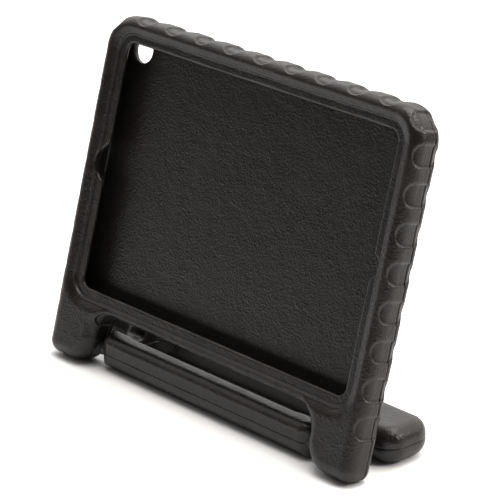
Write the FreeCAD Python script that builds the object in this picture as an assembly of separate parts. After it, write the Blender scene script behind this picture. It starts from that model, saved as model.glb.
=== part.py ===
import FreeCAD, Part
import math
import os
from FreeCAD import Vector as V

os.makedirs("parts", exist_ok=True)

# ---------------------------------------------------------------------------
# Foam tablet case with legs and a hinged stand / carry handle.
#
# Row frame: +X to the right, +Y to the back, +Z up, floor at Z = 0, origin
# under the middle of the bounding box.  The shell is drawn flat in its own
# frame (x right, y up the face, z out of the glass, z = 0 at the glass) and
# is then stood up and leaned back by LEAN.  The stand handle is drawn where
# it lies on the floor.  All lengths are millimetres.
# ---------------------------------------------------------------------------

# --- the tablet that the pocket is made for (7.9 inch, 4:3) ----------------
TAB_W, TAB_H, TAB_T = 200.0, 134.7, 7.2
POCKET_W, POCKET_H = 200.6, 135.3      # pocket, 0.3 mm clear all round
POCKET_FLOOR = -7.4                    # back wall's inner face
POCKET_ROOF = 0.1                      # underside of the lip
POCKET_R = 8.5

# --- shell outline ---------------------------------------------------------
XO = 106.5                             # half width
YO = 74.3                              # top edge
CORNER_R = 17.0
LEG_Y = -99.3                          # lowest edge of the legs
LEG_X = 75.9                           # inner face of each leg
LEG_R_OUT, LEG_R_IN = 6.5, 14.6
ARCH_Y = -72.9                         # underside of the bridge
ARCH_R = 10.5
Z_FRONT = 5.3                          # front face
Z_PART = -6.5                          # joint between the two foam halves
Z_BACK = -11.0                         # back face
R_FRONT = 6.3                          # front edge rounding
R_BACK = 4.2                           # back edge rounding

# --- front opening and its lip --------------------------------------------
WIN_X = 91.7
WIN_TOP, WIN_BOT = 61.4, -62.2
WIN_R = 5.0
LIP_Z = 2.3                            # front of the thin lip
BAND = 4.8                             # width of the lip's flat band
STEP_Z = 3.2                           # foot of the pillowed bumper
SLOPE_W = 3.8                          # bumper rises to Z_FRONT over this
CAM_NOTCH = [(-90.0, 13.6, 0.0), (-92.0, 9.8, 3.0), (-95.6, 6.6, 2.5),
             (-97.5, 2.4, 2.5), (-97.5, -1.8, 2.5), (-95.6, -6.0, 2.5),
             (-92.0, -9.2, 3.0), (-90.0, -13.0, 0.0)]
HOME_X, HOME_Y, HOME_R = 90.0, -0.3, 5.9
CAM_HOLE_X, CAM_HOLE_Y, CAM_HOLE_R = -90.5, 58.0, 6.5

# --- grip recesses in the outer edge ---------------------------------------
GRIP_DEPTH = 1.1
GRIP_W = 10.4                          # width at the outer edge
GRIP_START = 35.0                      # degrees round the front rounding
GRIP_TOP_PITCH, GRIP_TOP_N = 20.5, 9
GRIP_SIDE_PITCH, GRIP_SIDE_N, GRIP_SIDE_Y = 18.05, 8, 53.7

# --- stance ----------------------------------------------------------------
LEAN = 15.17                           # lean back from upright
FLOOR_U = -97.0                        # floor below the glass centre
Y_SHIFT = 0.282                        # centres the bounding box on Y = 0

# --- stand handle, lying on the floor; g is forwards, from the glass centre -
H_T = 18.0                             # thickness
H_FRONT, H_BACK = 23.4, -28.5          # front of the bar, back of the grip
H_BAR_X = 74.4                         # half length between the legs
H_WIDE_X = 105.5                       # half length behind the legs
H_WIDE_FRONT = 1.5                     # front edge of the wide part
H_BAR_R, H_WIDE_R = 4.5, 7.6           # rounding of the long edges
H_BAR_R_LOW = 8.0                      # the bar's lower front edge
SLOT_X, SLOT_FRONT, SLOT_BACK = 64.0, 14.0, -12.0
SLOT_EDGE_R = 3.0
ARM_Z, ARM_FRONT, ARM_BACK = 12.6, 12.6, 1.0   # the arms dip here to clear the bridge
PIVOT_G = 18.7                         # hinge axis, forwards
PIVOT_Z = 9.0                          # hinge axis, above the floor

# --- hinge hardware --------------------------------------------------------
PIN_R = 1.5
PIN_IN, PIN_OUT = 58.0, 94.0           # pin from |x| to |x|
BUSH_R, BUSH_OUT = 2.8, 96.8
BUSH_BORE_R, BUSH_BORE_END = 1.55, 94.6
FLANGE_R, FLANGE_T = 3.3, 1.2
WASHER_R, WASHER_T, WASHER_GAP = 3.3, 1.3, 0.1
HUB_R = 3.0
CORE_T = 4.6


# ---------------------------------------------------------------------------
# helpers
# ---------------------------------------------------------------------------
def round_poly(pts, z=0.0):
    """Closed wire of straight sides; each corner (x, y, r) is rounded by r."""
    n = len(pts)
    starts, ends, mids = [], [], []
    for i in range(n):
        x, y, r = pts[i]
        p = V(x, y, z)
        a = V(pts[i - 1][0], pts[i - 1][1], z)
        b = V(pts[(i + 1) % n][0], pts[(i + 1) % n][1], z)
        if r <= 0:
            starts.append(p); ends.append(p); mids.append(None)
            continue
        da = (a - p).normalize()
        db = (b - p).normalize()
        ang = da.getAngle(db)
        t = r / math.tan(ang / 2.0)
        s = p + da * t
        e = p + db * t
        bis = (da + db).normalize()
        c = p + bis * (r / math.sin(ang / 2.0))
        m = c - bis * r
        starts.append(s); ends.append(e); mids.append(m)
    edges = []
    for i in range(n):
        if mids[i] is not None:
            edges.append(Part.Arc(starts[i], mids[i], ends[i]).toShape())
        a, b = ends[i], starts[(i + 1) % n]
        if (b - a).Length > 1e-6:
            edges.append(Part.LineSegment(a, b).toShape())
    return Part.Wire(Part.__sortEdges__(edges))


def prism(wire, h):
    return Part.Face(wire).extrude(V(0, 0, h))


def rrect(x0, x1, y0, y1, r, z=0.0):
    return round_poly([(x1, y0, r), (x1, y1, r), (x0, y1, r), (x0, y0, r)], z)


def edges_at(shape, z, tol=1e-4):
    """Edges lying wholly in the plane of height z."""
    out = []
    for e in shape.Edges:
        b = e.BoundBox
        if abs(b.ZMin - z) < tol and abs(b.ZMax - z) < tol:
            out.append(e)
    return out


def cyl_x(x0, x1, r, y, z):
    return Part.makeCylinder(r, abs(x1 - x0), V(min(x0, x1), y, z), V(1, 0, 0))


def solid_of(shape):
    """The one solid in a boolean's result."""
    s = shape.removeSplitter()
    sol = sorted(s.Solids, key=lambda q: -q.Volume)
    return sol[0]


# ---------------------------------------------------------------------------
# shell, drawn flat
# ---------------------------------------------------------------------------
OUTLINE = [(XO, LEG_Y, LEG_R_OUT), (XO, YO, CORNER_R), (-XO, YO, CORNER_R),
           (-XO, LEG_Y, LEG_R_OUT), (-LEG_X, LEG_Y, LEG_R_IN),
           (-LEG_X, ARCH_Y, ARCH_R), (LEG_X, ARCH_Y, ARCH_R),
           (LEG_X, LEG_Y, LEG_R_IN)]


def grip_cutter():
    """One grip recess, wrapped round an edge whose outer face is at n = 0.

    Built with n (outwards) along X, s (along the edge) along Y and z up.  The
    floor of the recess follows the outer surface GRIP_DEPTH below it.
    """
    d = GRIP_DEPTH
    rf, rb = R_FRONT - d, R_BACK - d
    cf = (-R_FRONT, Z_FRONT - R_FRONT)
    cb = (-R_BACK, Z_BACK + R_BACK)
    a0 = math.radians(90.0 - GRIP_START)
    am = a0 / 2.0
    f0 = V(cf[0] + rf * math.cos(a0), 0, cf[1] + rf * math.sin(a0))
    fm = V(cf[0] + rf * math.cos(am), 0, cf[1] + rf * math.sin(am))
    f1 = V(cf[0] + rf, 0, cf[1])
    b1 = V(cb[0] + rb, 0, cb[1])
    bm = V(cb[0] + rb * math.cos(am), 0, cb[1] - rb * math.sin(am))
    b0 = V(cb[0] + rb * math.cos(a0), 0, cb[1] - rb * math.sin(a0))
    of = V(f0.x + 6 * math.cos(a0), 0, f0.z + 6 * math.sin(a0))
    ob = V(b0.x + 6 * math.cos(a0), 0, b0.z - 6 * math.sin(a0))
    w = Part.Wire([Part.LineSegment(of, f0).toShape(),
                   Part.Arc(f0, fm, f1).toShape(),
                   Part.LineSegment(f1, b1).toShape(),
                   Part.Arc(b1, bm, b0).toShape(),
                   Part.LineSegment(b0, ob).toShape(),
                   Part.LineSegment(ob, V(8, 0, ob.z)).toShape(),
                   Part.LineSegment(V(8, 0, ob.z), V(8, 0, of.z)).toShape(),
                   Part.LineSegment(V(8, 0, of.z), of).toShape()])
    body = Part.Face(w).extrude(V(0, GRIP_W, 0))
    body.translate(V(0, -GRIP_W / 2.0, 0))
    # rounded inner ends, seen square on to the edge rounding
    for sign, p in ((1, f0), (-1, b0)):
        hw = GRIP_W / 2.0
        nrm = V(math.cos(a0), 0, sign * math.sin(a0))
        tan = V(math.sin(a0), 0, -sign * math.cos(a0))
        pl = [(-0.01, -hw + 4.2), (4.2 * 0.29, -hw + 4.2 * 0.29),
              (4.2, -hw)]
        wire_pts = [p + tan * (-8), p + tan * (-8)]
        c1 = p - nrm * 3
        tri = []
        for side in (-1, 1):
            a = c1 + tan * (-3) + V(0, side * (hw + 2), 0)
            b = c1 + tan * (4.2) + V(0, side * (hw + 2), 0)
            c = c1 + tan * (4.2) + V(0, side * hw, 0)
            m = c1 + tan * (4.2 * 0.29) + V(0, side * (hw - 4.2 * 0.29), 0)
            e = c1 + V(0, side * (hw - 4.2), 0)
            f = c1 + tan * (-3) + V(0, side * (hw - 4.2), 0)
            wr = Part.Wire([Part.LineSegment(a, b).toShape(),
                            Part.LineSegment(b, c).toShape(),
                            Part.Arc(c, m, e).toShape(),
                            Part.LineSegment(e, f).toShape(),
                            Part.LineSegment(f, a).toShape()])
            tri.append(Part.Face(wr).extrude(nrm * 14))
        for t in tri:
            body = body.cut(t)
    return body


def grips():
    base = grip_cutter()
    out = []

    def put(x, y, deg):
        c = base.copy()
        c.rotate(V(0, 0, 0), V(0, 0, 1), deg)
        c.translate(V(x, y, 0))
        out.append(c)

    for i in range(GRIP_TOP_N):
        put((i - (GRIP_TOP_N - 1) / 2.0) * GRIP_TOP_PITCH, YO, 90)
    for i in range(GRIP_SIDE_N):
        y = GRIP_SIDE_Y - i * GRIP_SIDE_PITCH
        put(XO, y, 0)
        put(-XO, y, 180)
    k = CORNER_R * math.cos(math.radians(45))
    put(XO - CORNER_R + k, YO - CORNER_R + k, 45)
    put(-XO + CORNER_R - k, YO - CORNER_R + k, 135)
    return out


def stand_up(shape):
    """Flat drawing frame to row frame: lean back, floor at zero."""
    s = shape.copy()
    s.rotate(V(0, 0, 0), V(1, 0, 0), 90.0 - LEAN)
    s.translate(V(0, Y_SHIFT, -FLOOR_U))
    return s


def gy(g):
    """Forwards distance to the row frame's Y."""
    return -g + Y_SHIFT


GRIPS = grips()

# front half: bumper, lip and the front of the legs
front = prism(round_poly(OUTLINE, Z_PART), Z_FRONT - Z_PART)
front = front.makeFillet(R_FRONT, edges_at(front, Z_FRONT))
front = front.cut(prism(rrect(-POCKET_W / 2, POCKET_W / 2, -POCKET_H / 2,
                              POCKET_H / 2, POCKET_R, Z_PART - 1),
                        POCKET_ROOF - Z_PART + 1))
front = front.cut(prism(rrect(-WIN_X, WIN_X, WIN_BOT, WIN_TOP, WIN_R, -1), 12))
front = front.cut(prism(rrect(-WIN_X - BAND, WIN_X + BAND, WIN_BOT - BAND,
                              WIN_TOP + BAND, WIN_R + BAND, LIP_Z), 12))
rise = Z_FRONT - STEP_Z
k = 2.0
front = front.cut(Part.makeLoft([
    rrect(-WIN_X - BAND, WIN_X + BAND, WIN_BOT - BAND, WIN_TOP + BAND,
          WIN_R + BAND, STEP_Z),
    rrect(-WIN_X - BAND - SLOPE_W * k, WIN_X + BAND + SLOPE_W * k,
          WIN_BOT - BAND - SLOPE_W * k, WIN_TOP + BAND + SLOPE_W * k,
          WIN_R + BAND + SLOPE_W * k, STEP_Z + rise * k)], True, True))
# the lip's two bites, for the lens and for the round button
front = front.cut(prism(round_poly(CAM_NOTCH, POCKET_ROOF - 0.05), 10))
front = front.cut(Part.makeCylinder(HOME_R, 10, V(HOME_X, HOME_Y, POCKET_ROOF - 0.05)))
for c in GRIPS:
    front = front.cut(c)

# back half: back wall with the lens hole, and the back of the legs
rear = prism(round_poly(OUTLINE, Z_BACK), Z_PART - Z_BACK)
rear = rear.makeFillet(R_BACK, edges_at(rear, Z_BACK))
rear = rear.cut(prism(rrect(-POCKET_W / 2, POCKET_W / 2, -POCKET_H / 2,
                            POCKET_H / 2, POCKET_R, POCKET_FLOOR), 5))
rear = rear.cut(Part.makeCylinder(CAM_HOLE_R, 10, V(CAM_HOLE_X, CAM_HOLE_Y, Z_BACK - 2)))
rear = rear.cut(Part.makeCone(CAM_HOLE_R + 1.6, CAM_HOLE_R, 1.6,
                              V(CAM_HOLE_X, CAM_HOLE_Y, Z_BACK)))
for c in GRIPS:
    rear = rear.cut(c)

front = stand_up(front)
rear = stand_up(rear)

# the heel of each leg is flat where it meets the floor
under = Part.makeBox(400, 400, 40, V(-200, -200, -40))
front = front.cut(under)
rear = rear.cut(under)

# ---------------------------------------------------------------------------
# hinge: bushes in the legs, pins and washers on the handle
# ---------------------------------------------------------------------------
PY, PZ = gy(PIVOT_G), PIVOT_Z
bush, pin, washer = {}, {}, {}
for name, s in (("left", -1), ("right", 1)):
    b = cyl_x(s * LEG_X, s * (LEG_X + FLANGE_T), FLANGE_R, PY, PZ)
    b = b.fuse(cyl_x(s * LEG_X, s * BUSH_OUT, BUSH_R, PY, PZ))
    front = front.cut(b)
    rear = rear.cut(b)
    b = b.cut(cyl_x(s * (LEG_X - 1), s * BUSH_BORE_END, BUSH_BORE_R, PY, PZ))
    bush[name] = solid_of(b)
    pin[name] = cyl_x(s * PIN_IN, s * PIN_OUT, PIN_R, PY, PZ)
    w1 = LEG_X - WASHER_GAP
    w = cyl_x(s * (w1 - WASHER_T), s * w1, WASHER_R, PY, PZ)
    washer[name] = w.cut(cyl_x(s * 70, s * 80, PIN_R, PY, PZ))

# ---------------------------------------------------------------------------
# stand handle
# ---------------------------------------------------------------------------
def yrect(x0, x1, g0, g1, r, z, h):
    return prism(rrect(x0, x1, gy(g1), gy(g0), r, z), h)


def bar_prism(x, g0, g1, r_plan, r_edge):
    """A flat foam block with every top and bottom edge rounded."""
    body = yrect(-x, x, g0, g1, r_plan, 0, H_T)
    return body.makeFillet(r_edge, edges_at(body, 0) + edges_at(body, H_T))


bar = bar_prism(H_BAR_X, H_BACK + 12.0, H_FRONT, 8.0, H_BAR_R)
# the lower front edge is rounded more, so the bar rolls off the floor
toe = Part.makeBox(400, H_BAR_R_LOW, H_BAR_R_LOW, V(-200, gy(H_FRONT), 0))
toe = toe.cut(cyl_x(-201, 201, H_BAR_R_LOW, gy(H_FRONT - H_BAR_R_LOW), H_BAR_R_LOW))
bar = bar.cut(toe)
grip_block = bar_prism(H_WIDE_X, H_BACK, H_WIDE_FRONT, 10.0, H_WIDE_R)
foam = bar.fuse(grip_block).removeSplitter()
slot = yrect(-SLOT_X, SLOT_X, SLOT_BACK, SLOT_FRONT, 8.0, -1, H_T + 2)
foam = foam.cut(slot)
slot_edges = []
for e in edges_at(foam, 0) + edges_at(foam, H_T):
    m = e.CenterOfMass
    b = e.BoundBox
    if (abs(m.x) <= SLOT_X + 0.01 and gy(SLOT_FRONT) - 0.01 <= m.y <= gy(SLOT_BACK) + 0.01
            and b.YMin >= gy(SLOT_FRONT) - 0.02 and b.YMax <= gy(SLOT_BACK) + 0.02
            and (abs(m.y - gy(SLOT_FRONT)) < 0.01 or abs(m.y - gy(SLOT_BACK)) < 0.01)):
        slot_edges.append(e)
foam = foam.makeFillet(SLOT_EDGE_R, slot_edges)
dip = prism(rrect(gy(ARM_FRONT), gy(ARM_BACK), ARM_Z, H_T + 20, 3.0), 190.0)
dip.rotate(V(0, 0, 0), V(1, 1, 1), 120)
dip.translate(V(-95, 0, 0))
foam = foam.cut(dip)

zc = PIVOT_Z - CORE_T / 2
core_plan = [(71, gy(20.4), 2.0), (71, gy(-15), 2.0), (97, gy(-15), 3.0),
             (97, gy(-24), 3.0), (-97, gy(-24), 3.0), (-97, gy(-15), 3.0),
             (-71, gy(-15), 2.0), (-71, gy(20.4), 2.0)]
core = prism(round_poly(core_plan, zc), CORE_T)
core = core.cut(yrect(-67, 67, -15.5, 16.2, 3.0, zc - 1, CORE_T + 2))
hub_end = LEG_X - WASHER_GAP - WASHER_T
for s in (-1, 1):
    core = core.fuse(cyl_x(s * 54, s * hub_end, HUB_R, PY, PZ))
core_full = core.Solids[0].copy()
core = core_full.copy()
for s in (-1, 1):
    core = core.cut(cyl_x(s * PIN_IN, s * 90, PIN_R, PY, PZ))
core = core.Solids[0].copy()

half = Part.makeBox(400, 400, 100, V(-200, -200, PIVOT_Z))
foam = foam.cut(core_full)
upper = solid_of(foam.common(half))
lower = solid_of(foam.cut(half))

NODES = {
    "front_shell": solid_of(front),
    "rear_shell": solid_of(rear),
    "left_leg_bush": bush["left"],
    "right_leg_bush": bush["right"],
    "handle_upper_foam": upper,
    "handle_lower_foam": lower,
    "handle_core": core,
    "left_pivot_pin": pin["left"],
    "right_pivot_pin": pin["right"],
    "left_friction_washer": washer["left"],
    "right_friction_washer": washer["right"],
}

box = FreeCAD.BoundBox()
for name, shape in NODES.items():
    if not shape.isValid():
        print("INVALID", name)
        try:
            shape.check(True)
        except Exception as err:
            print(err)
    shape.exportStep("parts/%s.step" % name)
    bb = shape.optimalBoundingBox(False, False)
    box.add(bb)
    print("%-24s solids %d volume %.1f cm3  x %.1f..%.1f y %.1f..%.1f z %.1f..%.1f"
          % (name, len(shape.Solids), shape.Volume / 1000.0,
             bb.XMin, bb.XMax, bb.YMin, bb.YMax, bb.ZMin, bb.ZMax))
print("whole x %.3f..%.3f y %.3f..%.3f z %.3f..%.3f"
      % (box.XMin, box.XMax, box.YMin, box.YMax, box.ZMin, box.ZMax))
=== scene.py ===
import math

import bpy
import numpy as np
from mathutils import Matrix, Vector


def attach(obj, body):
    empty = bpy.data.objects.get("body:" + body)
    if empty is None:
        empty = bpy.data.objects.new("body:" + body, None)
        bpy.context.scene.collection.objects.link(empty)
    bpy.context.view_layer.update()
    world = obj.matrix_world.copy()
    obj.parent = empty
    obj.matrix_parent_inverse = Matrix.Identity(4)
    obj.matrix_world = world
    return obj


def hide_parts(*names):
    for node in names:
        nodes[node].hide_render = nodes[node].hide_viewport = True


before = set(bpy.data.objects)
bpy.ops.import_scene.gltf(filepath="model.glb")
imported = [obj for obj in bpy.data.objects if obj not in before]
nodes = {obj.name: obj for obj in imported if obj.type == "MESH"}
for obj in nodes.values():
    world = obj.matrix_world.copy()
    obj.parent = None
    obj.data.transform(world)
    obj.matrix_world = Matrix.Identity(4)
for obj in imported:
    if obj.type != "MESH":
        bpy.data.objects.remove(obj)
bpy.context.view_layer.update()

# ---------------------------------------------------------------------------
# The case is drawn flat in millimetres (x right, y up the face, z out of the
# glass) and leaned back; the handle is drawn where it lies (x, g forwards,
# z above the floor).  Both come out in metres in the row frame.
# ---------------------------------------------------------------------------
XO, YO, CORNER_R = 106.5, 74.3, 17.0
LEG_Y, LEG_X, LEG_R_OUT, LEG_R_IN = -99.3, 75.9, 6.5, 14.6
ARCH_Y, ARCH_R = -72.9, 10.5
Z_FRONT, Z_PART, Z_BACK = 5.3, -6.5, -11.0
R_FRONT, R_BACK = 6.3, 4.2
POCKET_W, POCKET_H, POCKET_R = 200.6, 135.3, 8.5
POCKET_FLOOR, POCKET_ROOF = -7.4, 0.1
WIN_X, WIN_TOP, WIN_BOT, WIN_R = 91.7, 61.4, -62.2, 5.0
LIP_Z, BAND, STEP_Z = 2.3, 4.8, 3.2
CAM_NOTCH = [(-86.0, 13.6, 0.0), (-90.0, 13.6, 1.5), (-92.0, 9.8, 3.0),
             (-95.6, 6.6, 2.5), (-97.5, 2.4, 2.5), (-97.5, -1.8, 2.5),
             (-95.6, -6.0, 2.5), (-92.0, -9.2, 3.0), (-90.0, -13.0, 1.5),
             (-86.0, -13.0, 0.0)]
HOME_X, HOME_Y, HOME_R = 90.0, -0.3, 5.9
LENS_X, LENS_Y, LENS_R = -90.5, 58.0, 6.5
GRIP_DEPTH, GRIP_W = 1.1, 10.4
LEAN = math.radians(15.17)
CL, SL = math.cos(LEAN), math.sin(LEAN)
FLOOR_U, Y_SHIFT = -97.0, 0.282
H_T, H_FRONT, H_BACK = 18.0, 23.4, -28.5
H_BAR_X, H_WIDE_X, H_WIDE_FRONT = 74.4, 105.5, 1.5
H_BAR_R, H_BAR_R_LOW, H_WIDE_R = 4.5, 8.0, 7.6
SLOT_X, SLOT_FRONT, SLOT_BACK, SLOT_EDGE_R = 64.0, 14.0, -12.0, 3.0
ARM_Z, ARM_FRONT, ARM_BACK = 12.6, 12.6, 1.0
PIVOT_G, PIVOT_Z, FLANGE_R, FLANGE_T = 18.7, 9.0, 3.3, 1.2
BUSH_R, BUSH_OUT = 2.8, 96.8
PIV_Y = CL * (PIVOT_Z + FLOOR_U) - SL * PIVOT_G
PIV_Z = CL * PIVOT_G + SL * (PIVOT_Z + FLOOR_U)


# ---------------------------------------------------------------------------
# distance fields, negative inside
# ---------------------------------------------------------------------------
def smax(a, b, r):
    """Both at once, with the edge between them rounded to radius r."""
    return (np.minimum(-r, np.maximum(a, b))
            + np.hypot(np.maximum(a + r, 0), np.maximum(b + r, 0)))


def smin(a, b, r):
    return -smax(-a, -b, r)


def step(lo, hi, v):
    t = np.clip((v - lo) / (hi - lo), 0, 1)
    return t * t * (3 - 2 * t)


def rrect(x, y, x0, x1, y0, y1, r):
    ax = np.abs(x - (x0 + x1) / 2) - ((x1 - x0) / 2 - r)
    ay = np.abs(y - (y0 + y1) / 2) - ((y1 - y0) / 2 - r)
    return np.hypot(np.maximum(ax, 0), np.maximum(ay, 0)) + np.minimum(np.maximum(ax, ay), 0) - r


class Plan:
    """Signed distance to a closed outline of straight sides and round corners."""

    def __init__(self, pts, pitch, pad):
        n = len(pts)
        segs, arcs, poly, last = [], [], [], None
        ends = []
        for i in range(n):
            p = np.array(pts[i][:2], float)
            a = np.array(pts[i - 1][:2], float) - p
            b = np.array(pts[(i + 1) % n][:2], float) - p
            r = pts[i][2]
            if r <= 0:
                ends.append((p, p))
                poly.append(p)
                continue
            a /= np.hypot(*a)
            b /= np.hypot(*b)
            half = math.acos(float(np.clip(a @ b, -1, 1))) / 2
            t = r / math.tan(half)
            mid = (a + b) / np.hypot(*(a + b))
            c = p + mid * (r / math.sin(half))
            s, e = p + a * t, p + b * t
            ends.append((s, e))
            spread = math.pi / 2 - half
            arcs.append((c, r, -mid, math.cos(spread) - 1e-9))
            a0 = math.atan2(s[1] - c[1], s[0] - c[0])
            a1 = math.atan2(e[1] - c[1], e[0] - c[0])
            d = (a1 - a0 + math.pi) % (2 * math.pi) - math.pi
            for k in range(25):
                w = a0 + d * k / 24
                poly.append(c + r * np.array([math.cos(w), math.sin(w)]))
        for i in range(n):
            segs.append((ends[i][1], ends[(i + 1) % n][0]))
        xs = [p[0] for p in pts]
        ys = [p[1] for p in pts]
        self.x0, self.y0, self.h = min(xs) - pad, min(ys) - pad, pitch
        nx = int((max(xs) + pad - self.x0) / pitch) + 2
        ny = int((max(ys) + pad - self.y0) / pitch) + 2
        x, y = np.meshgrid(self.x0 + pitch * np.arange(nx), self.y0 + pitch * np.arange(ny), indexing="ij")
        d = np.full(x.shape, 1e9)
        for a, b in segs:
            v = b - a
            l2 = v @ v
            if l2 < 1e-9:
                continue
            t = np.clip(((x - a[0]) * v[0] + (y - a[1]) * v[1]) / l2, 0, 1)
            d = np.minimum(d, np.hypot(x - a[0] - t * v[0], y - a[1] - t * v[1]))
        for c, r, out, cosine in arcs:
            dx, dy = x - c[0], y - c[1]
            m = np.hypot(dx, dy)
            near = (dx * out[0] + dy * out[1]) >= cosine * m
            d = np.where(near, np.minimum(d, np.abs(m - r)), d)
        inside = np.zeros(x.shape, bool)
        for a, b in zip(poly, poly[1:] + poly[:1]):
            if a[1] == b[1]:
                continue
            cut = (a[1] > y) != (b[1] > y)
            inside ^= cut & (x < (b[0] - a[0]) * (y - a[1]) / (b[1] - a[1]) + a[0])
        self.t = np.where(inside, -d, d)

    def __call__(self, x, y):
        nx, ny = self.t.shape
        u = np.clip((x - self.x0) / self.h, 0, nx - 1.001)
        v = np.clip((y - self.y0) / self.h, 0, ny - 1.001)
        i, j = u.astype(int), v.astype(int)
        u, v = u - i, v - j
        t = self.t
        return ((t[i, j] * (1 - u) + t[i + 1, j] * u) * (1 - v)
                + (t[i, j + 1] * (1 - u) + t[i + 1, j + 1] * u) * v)


outline = Plan([(XO, LEG_Y, LEG_R_OUT), (XO, YO, CORNER_R), (-XO, YO, CORNER_R),
                (-XO, LEG_Y, LEG_R_OUT), (-LEG_X, LEG_Y, LEG_R_IN),
                (-LEG_X, ARCH_Y, ARCH_R), (LEG_X, ARCH_Y, ARCH_R),
                (LEG_X, LEG_Y, LEG_R_IN)], 0.5, 8.0)
notch = Plan(CAM_NOTCH, 0.25, 8.0)


def soft(x, y, z, a):
    """Slow unevenness of moulded foam."""
    return a * (np.sin(0.085 * x + 1.1 + 1.3 * np.sin(0.05 * y)) * np.sin(0.11 * y + 0.4 * z + 0.6)
                + 0.6 * np.sin(0.19 * x - 0.13 * y + 0.3 * z + 2.0))


CX, CY = XO - CORNER_R, YO - CORNER_R
QUARTER = CORNER_R * math.pi / 2
GRIPS = ([i * 20.5 for i in range(5)] + [CX + QUARTER / 2]
         + [CX + QUARTER + CY - (53.7 - 18.05 * i) for i in range(8)])
T_MID = R_FRONT - 1.0 + 0.0


def recess(x, y, z, d):
    """0 on the smooth skin, 1 on the floor of a grip recess."""
    ax = np.abs(x)
    top = (ax < CX) & ((YO - y) < (XO - ax))
    corner = (ax >= CX) & (y >= CY)
    ang = np.arctan2(np.maximum(ax - CX, 0), np.maximum(y - CY, 1e-6))
    p = np.where(top, ax, np.where(corner, CX + CORNER_R * ang, CX + QUARTER + CY - y))
    q = np.full(p.shape, 1e9)
    for g in GRIPS:
        q = np.minimum(q, np.abs(p - g))
    zf, zb = Z_FRONT - R_FRONT, Z_BACK + R_BACK
    af = np.arctan2(np.maximum(z - zf, 0), np.maximum(d + R_FRONT, 1e-6))
    ab = np.arctan2(np.maximum(zb - z, 0), np.maximum(d + R_BACK, 1e-6))
    t = np.where(z > zf, -R_FRONT * af, np.where(z < zb, (zf - zb) + R_BACK * ab, zf - z))
    t0, t1 = -R_FRONT * math.radians(57), (zf - zb) + R_BACK * math.radians(60)
    mid, half = (t0 + t1) / 2, (t1 - t0) / 2
    hw, r = GRIP_W / 2, 4.9
    a, b = q - (hw - r), np.abs(t - mid) - (half - r)
    s = np.hypot(np.maximum(a, 0), np.maximum(b, 0)) + np.minimum(np.maximum(a, b), 0) - r
    m = step(0.38, -0.38, s)
    # the floor is dished: deepest along the middle
    m = m * (0.88 + 0.12 * step(0.0, -4.0, s))
    return m * step(-8.0, -6.6, d)


def floor_cut(y, z):
    return -(CL * y + SL * z - FLOOR_U)


def bush_seat(x, y, z):
    """The hole that a leg's bush sits in, with the wider seat for its flange."""
    r, ax = np.hypot(y - PIV_Y, z - PIV_Z), np.abs(x)
    return np.minimum(np.maximum(r - FLANGE_R - 0.04, ax - LEG_X - FLANGE_T - 0.03),
                      np.maximum(r - BUSH_R - 0.05, ax - BUSH_OUT - 0.03))


def front_field(P):
    x, y, z = P
    d = outline(x, y)
    w = rrect(x, y, -WIN_X, WIN_X, WIN_BOT, WIN_TOP, WIN_R)
    rise = np.clip((w - BAND) / 6.4, 0, 1)
    top = (LIP_Z + (STEP_Z - LIP_Z) * step(BAND - 0.35, BAND + 0.25, w)
           + (Z_FRONT - STEP_Z) * np.sin(rise * math.pi / 2)
           + 0.28 * np.exp(-((w - BAND - 0.55) / 0.5) ** 2))
    top = np.minimum(top, Z_FRONT)
    a = smax(d, (z - top) * 0.94, R_FRONT) + soft(x, y, z, 0.05)
    a = a + GRIP_DEPTH * recess(x, y, z, d)
    a = smax(a, Z_PART - z, 0.75)
    pocket = np.maximum(rrect(x, y, -POCKET_W / 2, POCKET_W / 2, -POCKET_H / 2, POCKET_H / 2, POCKET_R),
                        z - POCKET_ROOF)
    a = np.maximum(a, -pocket)
    a = smax(a, -w, 0.95)
    a = smax(a, -notch(x, y), 0.7)
    a = smax(a, HOME_R - np.hypot(x - HOME_X, y - HOME_Y), 0.7)
    a = smax(a, floor_cut(y, z), 1.6)
    return np.maximum(a, -bush_seat(x, y, z))


def rear_field(P):
    x, y, z = P
    d = outline(x, y)
    a = smax(d, Z_BACK - z, R_BACK) + soft(x, y, z, 0.05)
    a = a + GRIP_DEPTH * recess(x, y, z, d)
    a = smax(a, z - Z_PART, 0.75)
    pocket = smax(rrect(x, y, -POCKET_W / 2, POCKET_W / 2, -POCKET_H / 2, POCKET_H / 2, POCKET_R),
                  POCKET_FLOOR - z, 0.7)
    a = np.maximum(a, -pocket)
    a = smax(a, LENS_R - np.hypot(x - LENS_X, y - LENS_Y), 1.3)
    a = smax(a, floor_cut(y, z), 1.6)
    return np.maximum(a, -bush_seat(x, y, z))


def handle_field(P):
    x, g, z = P
    b = rrect(x, g, -H_BAR_X, H_BAR_X, H_BACK + 12, H_FRONT, 8.0)
    w = rrect(x, g, -H_WIDE_X, H_WIDE_X, H_BACK, H_WIDE_FRONT, 10.5)
    plan = smin(b, w, 3.0)
    wide = np.maximum(step(72.0, 80.0, np.abs(x)), step(-9.0, -17.0, g))
    r = H_BAR_R + (H_WIDE_R - H_BAR_R) * wide
    a = smax(smax(plan, z - H_T, r), -z, r)
    a = np.maximum(a, smax(g - H_FRONT, -z, H_BAR_R_LOW)) + soft(x, g, z, 0.05)
    slot = rrect(x, g, -SLOT_X, SLOT_X, SLOT_BACK, SLOT_FRONT, 8.0)
    a = smax(a, -slot, SLOT_EDGE_R - 2.2 * step(2.0, 10.0, g))
    a = smax(a, -rrect(g, z, ARM_BACK, ARM_FRONT, ARM_Z, H_T + 20, 3.0), 1.4)
    return smax(a, -z, 0.6)


def upper_field(P):
    return smax(handle_field(P), PIVOT_Z - P[2], 0.45)


def lower_field(P):
    return smax(handle_field(P), P[2] - PIVOT_Z, 0.45)


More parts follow.
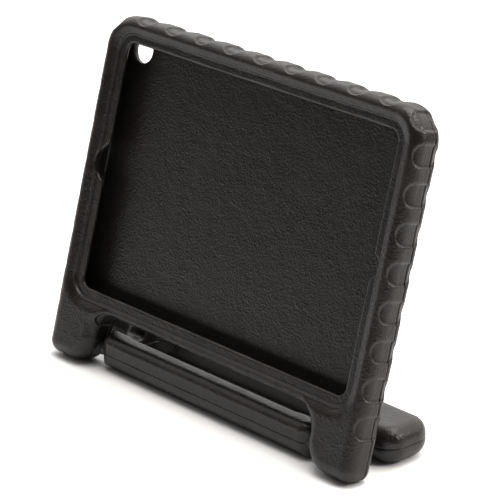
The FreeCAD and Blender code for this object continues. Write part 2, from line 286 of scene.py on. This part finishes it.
# ---------------------------------------------------------------------------
# field to mesh
# ---------------------------------------------------------------------------
def nets(field, xs, ys, zs):
    """One vertex per crossed cell, one quad per crossed edge."""
    f = np.empty((len(xs), len(ys), len(zs)))
    for k in range(0, len(xs), 40):
        x, y, z = np.meshgrid(xs[k:k + 40], ys, zs, indexing="ij")
        f[k:k + 40] = field((x, y, z))
    ax = (xs, ys, zs)
    shape = tuple(n - 1 for n in f.shape)
    acc, cnt = np.zeros(shape + (3,)), np.zeros(shape)
    crossings = []
    for a in range(3):
        lo = [slice(None)] * 3
        hi = [slice(None)] * 3
        lo[a], hi[a] = slice(0, -1), slice(1, None)
        f0, f1 = f[tuple(lo)], f[tuple(hi)]
        i = np.argwhere((f0 < 0) != (f1 < 0))
        g0, g1 = f0[tuple(i.T)], f1[tuple(i.T)]
        t = g0 / (g0 - g1)
        pos = np.stack([ax[b][i[:, b]] for b in range(3)], 1)
        c = ax[a]
        pos[:, a] = c[i[:, a]] + t * (c[i[:, a] + 1] - c[i[:, a]])
        b1, b2 = [q for q in range(3) if q != a]
        cells = []
        for s1, s2 in ((1, 1), (0, 1), (0, 0), (1, 0)):
            j = i.copy()
            j[:, b1] -= s1
            j[:, b2] -= s2
            ok = ((j >= 0) & (j < np.array(shape))).all(1)
            flat = np.ravel_multi_index(tuple(j[ok].T), shape)
            for q in range(3):
                acc[..., q] += np.bincount(flat, pos[ok, q], acc[..., 0].size).reshape(shape)
            cnt += np.bincount(flat, minlength=cnt.size).reshape(shape)
            cells.append(np.where(ok, np.ravel_multi_index(tuple(np.clip(j, 0, np.array(shape) - 1).T), shape), -1))
        quad = np.stack(cells, 1)
        keep = (quad >= 0).all(1)
        quad, inside = quad[keep], (g0 < 0)[keep]
        flip = inside if a != 1 else ~inside
        quad[flip] = quad[flip][:, ::-1]
        crossings.append(quad)
    used = cnt.ravel() > 0
    index = np.cumsum(used) - 1
    verts = (acc.reshape(-1, 3)[used]) / cnt.ravel()[used][:, None]
    quads = index[np.concatenate(crossings)][:, ::-1]
    return verts, quads


def gradient(field, v, e=0.04):
    g = np.empty_like(v)
    for a in range(3):
        p, m = v.copy(), v.copy()
        p[:, a] += e
        m[:, a] -= e
        g[:, a] = (field(p.T) - field(m.T)) / (2 * e)
    return g


def settle(field, v, rounds=2, cap=0.4):
    for _ in range(rounds):
        g = gradient(field, v)
        f = field(v.T)
        s = -f / np.maximum((g * g).sum(1), 0.2)
        move = g * s[:, None]
        size = np.linalg.norm(move, axis=1)
        v = v + move * np.minimum(1, cap / np.maximum(size, 1e-9))[:, None]
    return v


def neighbours(n, quads):
    e = np.concatenate([quads[:, [0, 1]], quads[:, [1, 2]], quads[:, [2, 3]], quads[:, [3, 0]]])
    e = np.concatenate([e, e[:, ::-1]])
    deg = np.maximum(np.bincount(e[:, 0], minlength=n), 1)

    def mean(values):
        if values.ndim == 1:
            return np.bincount(e[:, 0], values[e[:, 1]], n) / deg
        return np.stack([np.bincount(e[:, 0], values[e[:, 1], k], n) / deg for k in range(values.shape[1])], 1)
    return mean


def build(name, field, xs, ys, zs, place, node, body):
    v, q = nets(field, np.asarray(xs, float), np.asarray(ys, float), np.asarray(zs, float))
    mean = neighbours(len(v), q)
    v = settle(field, v, 2)
    for _ in range(3):
        g = gradient(field, v)
        g /= np.maximum(np.linalg.norm(g, axis=1), 1e-6)[:, None]
        d = mean(v) - v
        d -= g * (d * g).sum(1)[:, None]
        v = settle(field, v + 0.5 * d, 1)
    v = settle(field, v, 2)
    # how far the skin bulges: used for wear on edges
    g = gradient(field, v)
    g /= np.maximum(np.linalg.norm(g, axis=1), 1e-6)[:, None]
    bulge = -((mean(v) - v) * g).sum(1)
    for _ in range(2):
        bulge = 0.5 * bulge + 0.5 * mean(bulge)
    world = place(v) / 1000.0
    mesh = bpy.data.meshes.new(name)
    mesh.from_pydata(world.tolist(), [], q.tolist())
    mesh.update()
    mesh.validate()
    # outward faces
    tri = world[q[:, :3]]
    vol = np.einsum("ij,ij->i", tri[:, 0], np.cross(tri[:, 1], tri[:, 2])).sum()
    tri = world[q[:, [0, 2, 3]]]
    vol += np.einsum("ij,ij->i", tri[:, 0], np.cross(tri[:, 1], tri[:, 2])).sum()
    if vol < 0:
        mesh.flip_normals()
    mesh.shade_smooth()
    at = mesh.attributes.new("bulge", "FLOAT", "POINT")
    at.data.foreach_set("value", np.clip(bulge * 12.0, -1, 1).astype(np.float32))
    ob = bpy.data.objects.new(name, mesh)
    bpy.context.scene.collection.objects.link(ob)
    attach(ob, body)
    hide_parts(node)
    print(name, "quads", len(q))
    return ob


def stand_up(v):
    return np.stack([v[:, 0], SL * v[:, 1] - CL * v[:, 2] + Y_SHIFT,
                     CL * v[:, 1] + SL * v[:, 2] - FLOOR_U], 1)


def lie_down(v):
    return np.stack([v[:, 0], Y_SHIFT - v[:, 1], v[:, 2]], 1)


def levels(*spans):
    out = []
    for a, b, h in spans:
        n = max(1, int(round((b - a) / h)))
        out += [a + (b - a) * i / n for i in range(n)]
    return out + [spans[-1][1]]


H1 = 0.78
front = build("foam_shell_front", front_field, levels((-107.6, 107.6, H1)),
              levels((-100.7, 75.4, H1)),
              levels((-7.9, -6.9, 0.5), (-6.9, -5.6, 0.3), (-5.6, 1.4, 0.75), (1.4, 6.2, 0.45)),
              stand_up, "front_shell", "case")
rear = build("foam_shell_rear", rear_field, levels((-107.6, 107.6, 0.92)),
             levels((-100.7, 75.4, 0.92)),
             levels((-12.0, -7.8, 0.7), (-7.8, -6.9, 0.35), (-6.9, -5.4, 0.35)),
             stand_up, "rear_shell", "case")
upper = build("foam_handle_upper", upper_field, levels((-106.7, 106.7, 0.85)),
              levels((-29.9, 24.8, 0.8)),
              levels((7.7, 8.6, 0.45), (8.6, 10.0, 0.3), (10.0, 19.2, 0.8)),
              lie_down, "handle_upper_foam", "handle")
lower = build("foam_handle_lower", lower_field, levels((-106.7, 106.7, 0.85)),
              levels((-29.9, 24.8, 0.8)),
              levels((-1.2, 8.0, 0.8), (8.0, 9.4, 0.3), (9.4, 10.3, 0.45)),
              lie_down, "handle_lower_foam", "handle")


# ---------------------------------------------------------------------------
# materials
# ---------------------------------------------------------------------------
def new_material(name):
    m = bpy.data.materials.new(name)
    m.use_nodes = True
    nt = m.node_tree
    nt.nodes.clear()
    out = nt.nodes.new("ShaderNodeOutputMaterial")
    bsdf = nt.nodes.new("ShaderNodeBsdfPrincipled")
    nt.links.new(bsdf.outputs[0], out.inputs[0])
    co = nt.nodes.new("ShaderNodeTexCoord")
    return m, nt, bsdf, co.outputs["Object"]


def noise(nt, vec, scale, detail=3.0, rough=0.5):
    n = nt.nodes.new("ShaderNodeTexNoise")
    n.inputs["Scale"].default_value = scale
    n.inputs["Detail"].default_value = detail
    n.inputs["Roughness"].default_value = rough
    nt.links.new(vec, n.inputs["Vector"])
    return n.outputs["Fac"]


def ramp(nt, fac, stops):
    r = nt.nodes.new("ShaderNodeValToRGB")
    e = r.color_ramp.elements
    while len(e) < len(stops):
        e.new(0.5)
    for k, (pos, col) in enumerate(stops):
        e[k].position = pos
        c = (col, col, col) if isinstance(col, (int, float)) else col
        e[k].color = (*c, 1.0)
    nt.links.new(fac, r.inputs[0])
    return r.outputs[0]


def mixc(nt, fac, a, b, kind="MIX"):
    m = nt.nodes.new("ShaderNodeMix")
    m.data_type = "RGBA"
    m.blend_type = kind
    for key, val in ((0, fac), (6, a), (7, b)):
        if hasattr(val, "is_linked") or isinstance(val, bpy.types.NodeSocket):
            nt.links.new(val, m.inputs[key])
        elif key == 0:
            m.inputs[key].default_value = val
        else:
            m.inputs[key].default_value = (*val, 1.0)
    return m.outputs[2]


def math_node(nt, op, a, b=None, clamp=False):
    m = nt.nodes.new("ShaderNodeMath")
    m.operation = op
    m.use_clamp = clamp
    for key, val in ((0, a), (1, b)):
        if val is None:
            continue
        if isinstance(val, bpy.types.NodeSocket):
            nt.links.new(val, m.inputs[key])
        else:
            m.inputs[key].default_value = val
    return m.outputs[0]


def bump(nt, height, strength, distance, below=None):
    b = nt.nodes.new("ShaderNodeBump")
    b.inputs["Strength"].default_value = strength
    b.inputs["Distance"].default_value = distance
    nt.links.new(height, b.inputs["Height"])
    if below is not None:
        nt.links.new(below, b.inputs["Normal"])
    return b.outputs["Normal"]


def foam_material(name, dark, light, worn):
    """Moulded closed-cell foam: a leathery skin, matt in patches, rubbed on its edges."""
    m, nt, bsdf, vec = new_material(name)
    broad = noise(nt, vec, 17.0, 4.0, 0.55)
    patch = noise(nt, vec, 75.0, 4.0, 0.6)
    speck = noise(nt, vec, 1150.0, 2.0, 0.6)
    at = nt.nodes.new("ShaderNodeAttribute")
    at.attribute_name = "bulge"
    edge = math_node(nt, "MULTIPLY", ramp(nt, at.outputs["Fac"], [(0.05, 0.0), (0.55, 1.0)]),
                     ramp(nt, patch, [(0.38, 0.15), (0.62, 1.0)]))
    base = mixc(nt, ramp(nt, broad, [(0.3, 0.0), (0.7, 1.0)]), dark, light)
    base = mixc(nt, ramp(nt, speck, [(0.42, 0.0), (0.68, 0.55)]), base, tuple(1.45 * c for c in light))
    base = mixc(nt, math_node(nt, "MULTIPLY", edge, 0.65), base, worn)
    nt.links.new(base, bsdf.inputs["Base Color"])
    rough = math_node(nt, "ADD",
                      math_node(nt, "MULTIPLY", ramp(nt, patch, [(0.3, 0.0), (0.7, 1.0)]), 0.11),
                      math_node(nt, "MULTIPLY", speck, 0.12))
    rough = math_node(nt, "ADD", rough, 0.23)
    rough = math_node(nt, "SUBTRACT", rough, math_node(nt, "MULTIPLY", edge, 0.06), clamp=True)
    nt.links.new(rough, bsdf.inputs["Roughness"])
    # leathery skin: cells with soft walls, fine pits on top, slow waves below
    v = nt.nodes.new("ShaderNodeTexVoronoi")
    v.feature = "SMOOTH_F1"
    v.inputs["Scale"].default_value = 980.0
    v.inputs["Smoothness"].default_value = 0.6
    warp = nt.nodes.new("ShaderNodeVectorMath")
    warp.operation = "ADD"
    shift = nt.nodes.new("ShaderNodeTexNoise")
    shift.inputs["Scale"].default_value = 420.0
    nt.links.new(vec, shift.inputs["Vector"])
    scale = nt.nodes.new("ShaderNodeVectorMath")
    scale.operation = "SCALE"
    scale.inputs["Scale"].default_value = 0.0009
    nt.links.new(shift.outputs["Color"], scale.inputs[0])
    nt.links.new(vec, warp.inputs[0])
    nt.links.new(scale.outputs[0], warp.inputs[1])
    nt.links.new(warp.outputs[0], v.inputs["Vector"])
    wave = bump(nt, noise(nt, vec, 160.0, 3.0, 0.5), 0.35, 0.0006)
    cells = bump(nt, v.outputs["Distance"], 0.55, 0.00024, wave)
    fine = bump(nt, speck, 0.4, 0.00012, cells)
    nt.links.new(fine, bsdf.inputs["Normal"])
    bsdf.inputs["Specular IOR Level"].default_value = 0.5
    bsdf.inputs["IOR"].default_value = 1.47
    bsdf.inputs["Sheen Weight"].default_value = 0.01
    bsdf.inputs["Sheen Roughness"].default_value = 0.4
    return m


def plastic_material(name, dark, light, rough0, grain):
    m, nt, bsdf, vec = new_material(name)
    broad = noise(nt, vec, 60.0, 4.0, 0.6)
    fine = noise(nt, vec, grain, 3.0, 0.6)
    base = mixc(nt, ramp(nt, broad, [(0.3, 0.0), (0.7, 1.0)]), dark, light)
    base = mixc(nt, ramp(nt, fine, [(0.5, 0.0), (0.75, 0.5)]), base, tuple(1.6 * c for c in light))
    nt.links.new(base, bsdf.inputs["Base Color"])
    rough = math_node(nt, "ADD", math_node(nt, "MULTIPLY", fine, 0.2), rough0)
    nt.links.new(rough, bsdf.inputs["Roughness"])
    nt.links.new(bump(nt, fine, 0.3, 0.0001), bsdf.inputs["Normal"])
    return m


def steel_material(name):
    m, nt, bsdf, vec = new_material(name)
    mp = nt.nodes.new("ShaderNodeMapping")
    mp.inputs["Scale"].default_value = (40.0, 2600.0, 2600.0)
    nt.links.new(vec, mp.inputs["Vector"])
    streak = noise(nt, mp.outputs[0], 1.0, 3.0, 0.6)
    base = mixc(nt, ramp(nt, streak, [(0.3, 0.0), (0.7, 1.0)]), (0.42, 0.42, 0.43), (0.62, 0.62, 0.63))
    nt.links.new(base, bsdf.inputs["Base Color"])
    bsdf.inputs["Metallic"].default_value = 1.0
    rough = math_node(nt, "ADD", math_node(nt, "MULTIPLY", streak, 0.22), 0.2)
    nt.links.new(rough, bsdf.inputs["Roughness"])
    nt.links.new(bump(nt, streak, 0.25, 0.00005), bsdf.inputs["Normal"])
    return m


foam = foam_material("foam_skin", (0.0080, 0.0061, 0.0051), (0.0140, 0.0111, 0.0094), (0.050, 0.043, 0.038))
grip_foam = foam_material("handle_foam_skin", (0.0082, 0.0063, 0.0053), (0.0144, 0.0114, 0.0097), (0.052, 0.045, 0.040))
core_plastic = plastic_material("core_nylon", (0.018, 0.018, 0.019), (0.030, 0.030, 0.032), 0.45, 900.0)
bush_plastic = plastic_material("bush_acetal", (0.030, 0.030, 0.031), (0.050, 0.050, 0.052), 0.32, 700.0)
washer_rubber = plastic_material("washer_rubber", (0.012, 0.012, 0.012), (0.022, 0.022, 0.022), 0.6, 1200.0)
steel = steel_material("pin_steel")


def paint(ob, mat):
    ob.data.materials.clear()
    ob.data.materials.append(mat)


for ob in (front, rear):
    paint(ob, foam)
for ob in (upper, lower):
    paint(ob, grip_foam)
for name, mat, slot_name in (("handle_core", core_plastic, "core_plastic"),
                             ("left_leg_bush", bush_plastic, "bush_plastic"),
                             ("right_leg_bush", bush_plastic, "bush_plastic"),
                             ("left_friction_washer", washer_rubber, "washer_rubber"),
                             ("right_friction_washer", washer_rubber, "washer_rubber"),
                             ("left_pivot_pin", steel, "pin_steel"),
                             ("right_pivot_pin", steel, "pin_steel")):
    paint(nodes[name], mat)
    bev = nodes[name].modifiers.new("edge", "BEVEL")
    bev.width = 0.00022
    bev.segments = 2
    bev.limit_method = "ANGLE"
    bev.angle_limit = math.radians(50)


# ---------------------------------------------------------------------------
# stage, light and camera
# ---------------------------------------------------------------------------
scene = bpy.context.scene
grid = 24
size = 7.0
vs = [((i / grid - 0.5) * 2 * size, (j / grid - 0.5) * 2 * size, -0.0004)
      for j in range(grid + 1) for i in range(grid + 1)]
fs = [(j * (grid + 1) + i, j * (grid + 1) + i + 1, (j + 1) * (grid + 1) + i + 1, (j + 1) * (grid + 1) + i)
      for j in range(grid) for i in range(grid)]
fm = bpy.data.meshes.new("floor")
fm.from_pydata(vs, [], fs)
fm.update()
floor = bpy.data.objects.new("floor", fm)
scene.collection.objects.link(floor)
mat, nt, bsdf, vec = new_material("floor_paper")
nt.links.new(mixc(nt, noise(nt, vec, 3.0), (0.90, 0.90, 0.90), (0.93, 0.93, 0.925)), bsdf.inputs["Base Color"])
bsdf.inputs["Roughness"].default_value = 0.9
bsdf.inputs["Specular IOR Level"].default_value = 0.15
paint(floor, mat)


def softbox(name, at, aim, sx, sy, power, colour=(1, 1, 1)):
    light = bpy.data.lights.new(name, "AREA")
    light.shape = "RECTANGLE"
    light.size, light.size_y = sx, sy
    light.energy = power
    light.color = colour
    ob = bpy.data.objects.new(name, light)
    ob.location = at
    ob.rotation_mode = "QUATERNION"
    ob.rotation_quaternion = (Vector(aim) - Vector(at)).to_track_quat("-Z", "Y")
    scene.collection.objects.link(ob)
    return ob


softbox("overhead", (0.10, 0.12, 1.45), (0.0, 0.0, 0.08), 1.1, 1.0, 18.0, (1.0, 0.975, 0.95))
softbox("right_back", (1.25, 0.55, 1.05), (0.05, 0.0, 0.08), 0.32, 0.32, 9.0, (1.0, 0.975, 0.95))
softbox("left_front", (-1.2, -1.0, 0.9), (0.0, 0.0, 0.08), 0.7, 0.7, 0.8, (1.0, 0.96, 0.92))

world = bpy.data.worlds.new("studio")
scene.world = world
world.use_nodes = True
nt = world.node_tree
nt.nodes.clear()
out = nt.nodes.new("ShaderNodeOutputWorld")
bg = nt.nodes.new("ShaderNodeBackground")
tc = nt.nodes.new("ShaderNodeTexCoord")
dot = nt.nodes.new("ShaderNodeVectorMath")
dot.operation = "DOT_PRODUCT"
dot.inputs[1].default_value = (-0.356, 0.864, 0.356)
nt.links.new(tc.outputs["Generated"], dot.inputs[0])
half = nt.nodes.new("ShaderNodeMath")
half.operation = "MULTIPLY_ADD"
half.inputs[1].default_value = 0.5
half.inputs[2].default_value = 0.5
nt.links.new(dot.outputs["Value"], half.inputs[0])
cr = nt.nodes.new("ShaderNodeValToRGB")
cr.color_ramp.elements[0].position = 0.38
cr.color_ramp.elements[0].color = (0.050, 0.046, 0.043, 1)
cr.color_ramp.elements[1].position = 0.85
cr.color_ramp.elements[1].color = (1.0, 0.985, 0.97, 1)
nt.links.new(half.outputs[0], cr.inputs[0])
nt.links.new(cr.outputs[0], bg.inputs[0])
# the room is darker near the horizon than overhead
part = nt.nodes.new("ShaderNodeSeparateXYZ")
nt.links.new(tc.outputs["Generated"], part.inputs[0])
low = nt.nodes.new("ShaderNodeMapRange")
low.interpolation_type = "SMOOTHSTEP"
low.inputs["From Min"].default_value = 0.06
low.inputs["From Max"].default_value = 0.34
low.inputs["To Min"].default_value = 0.30
low.inputs["To Max"].default_value = 2.4
nt.links.new(part.outputs["Z"], low.inputs["Value"])
nt.links.new(low.outputs["Result"], bg.inputs[1])
nt.links.new(bg.outputs[0], out.inputs[0])

scene.view_settings.view_transform = "Standard"
scene.view_settings.look = "None"
scene.view_settings.gamma = 0.86

cam = bpy.data.cameras.new("camera")
cam.sensor_width = 36.0
cam.lens = 2750.6 * 36.0 / 500.0
cam.clip_start, cam.clip_end = 0.05, 60.0
co = bpy.data.objects.new("camera", cam)
scene.collection.objects.link(co)
fw = Vector((-0.67831, 0.63801, -0.36447)).normalized()
up = Vector((-0.26905, 0.24591, 0.9312))
rt = fw.cross(up).normalized()
up = rt.cross(fw).normalized()
rot = Matrix((rt, up, -fw)).transposed().to_4x4()
co.matrix_world = Matrix.Translation((0.88495, -0.822345, 0.55074)) @ rot
scene.camera = co

bpy.context.view_layer.update()
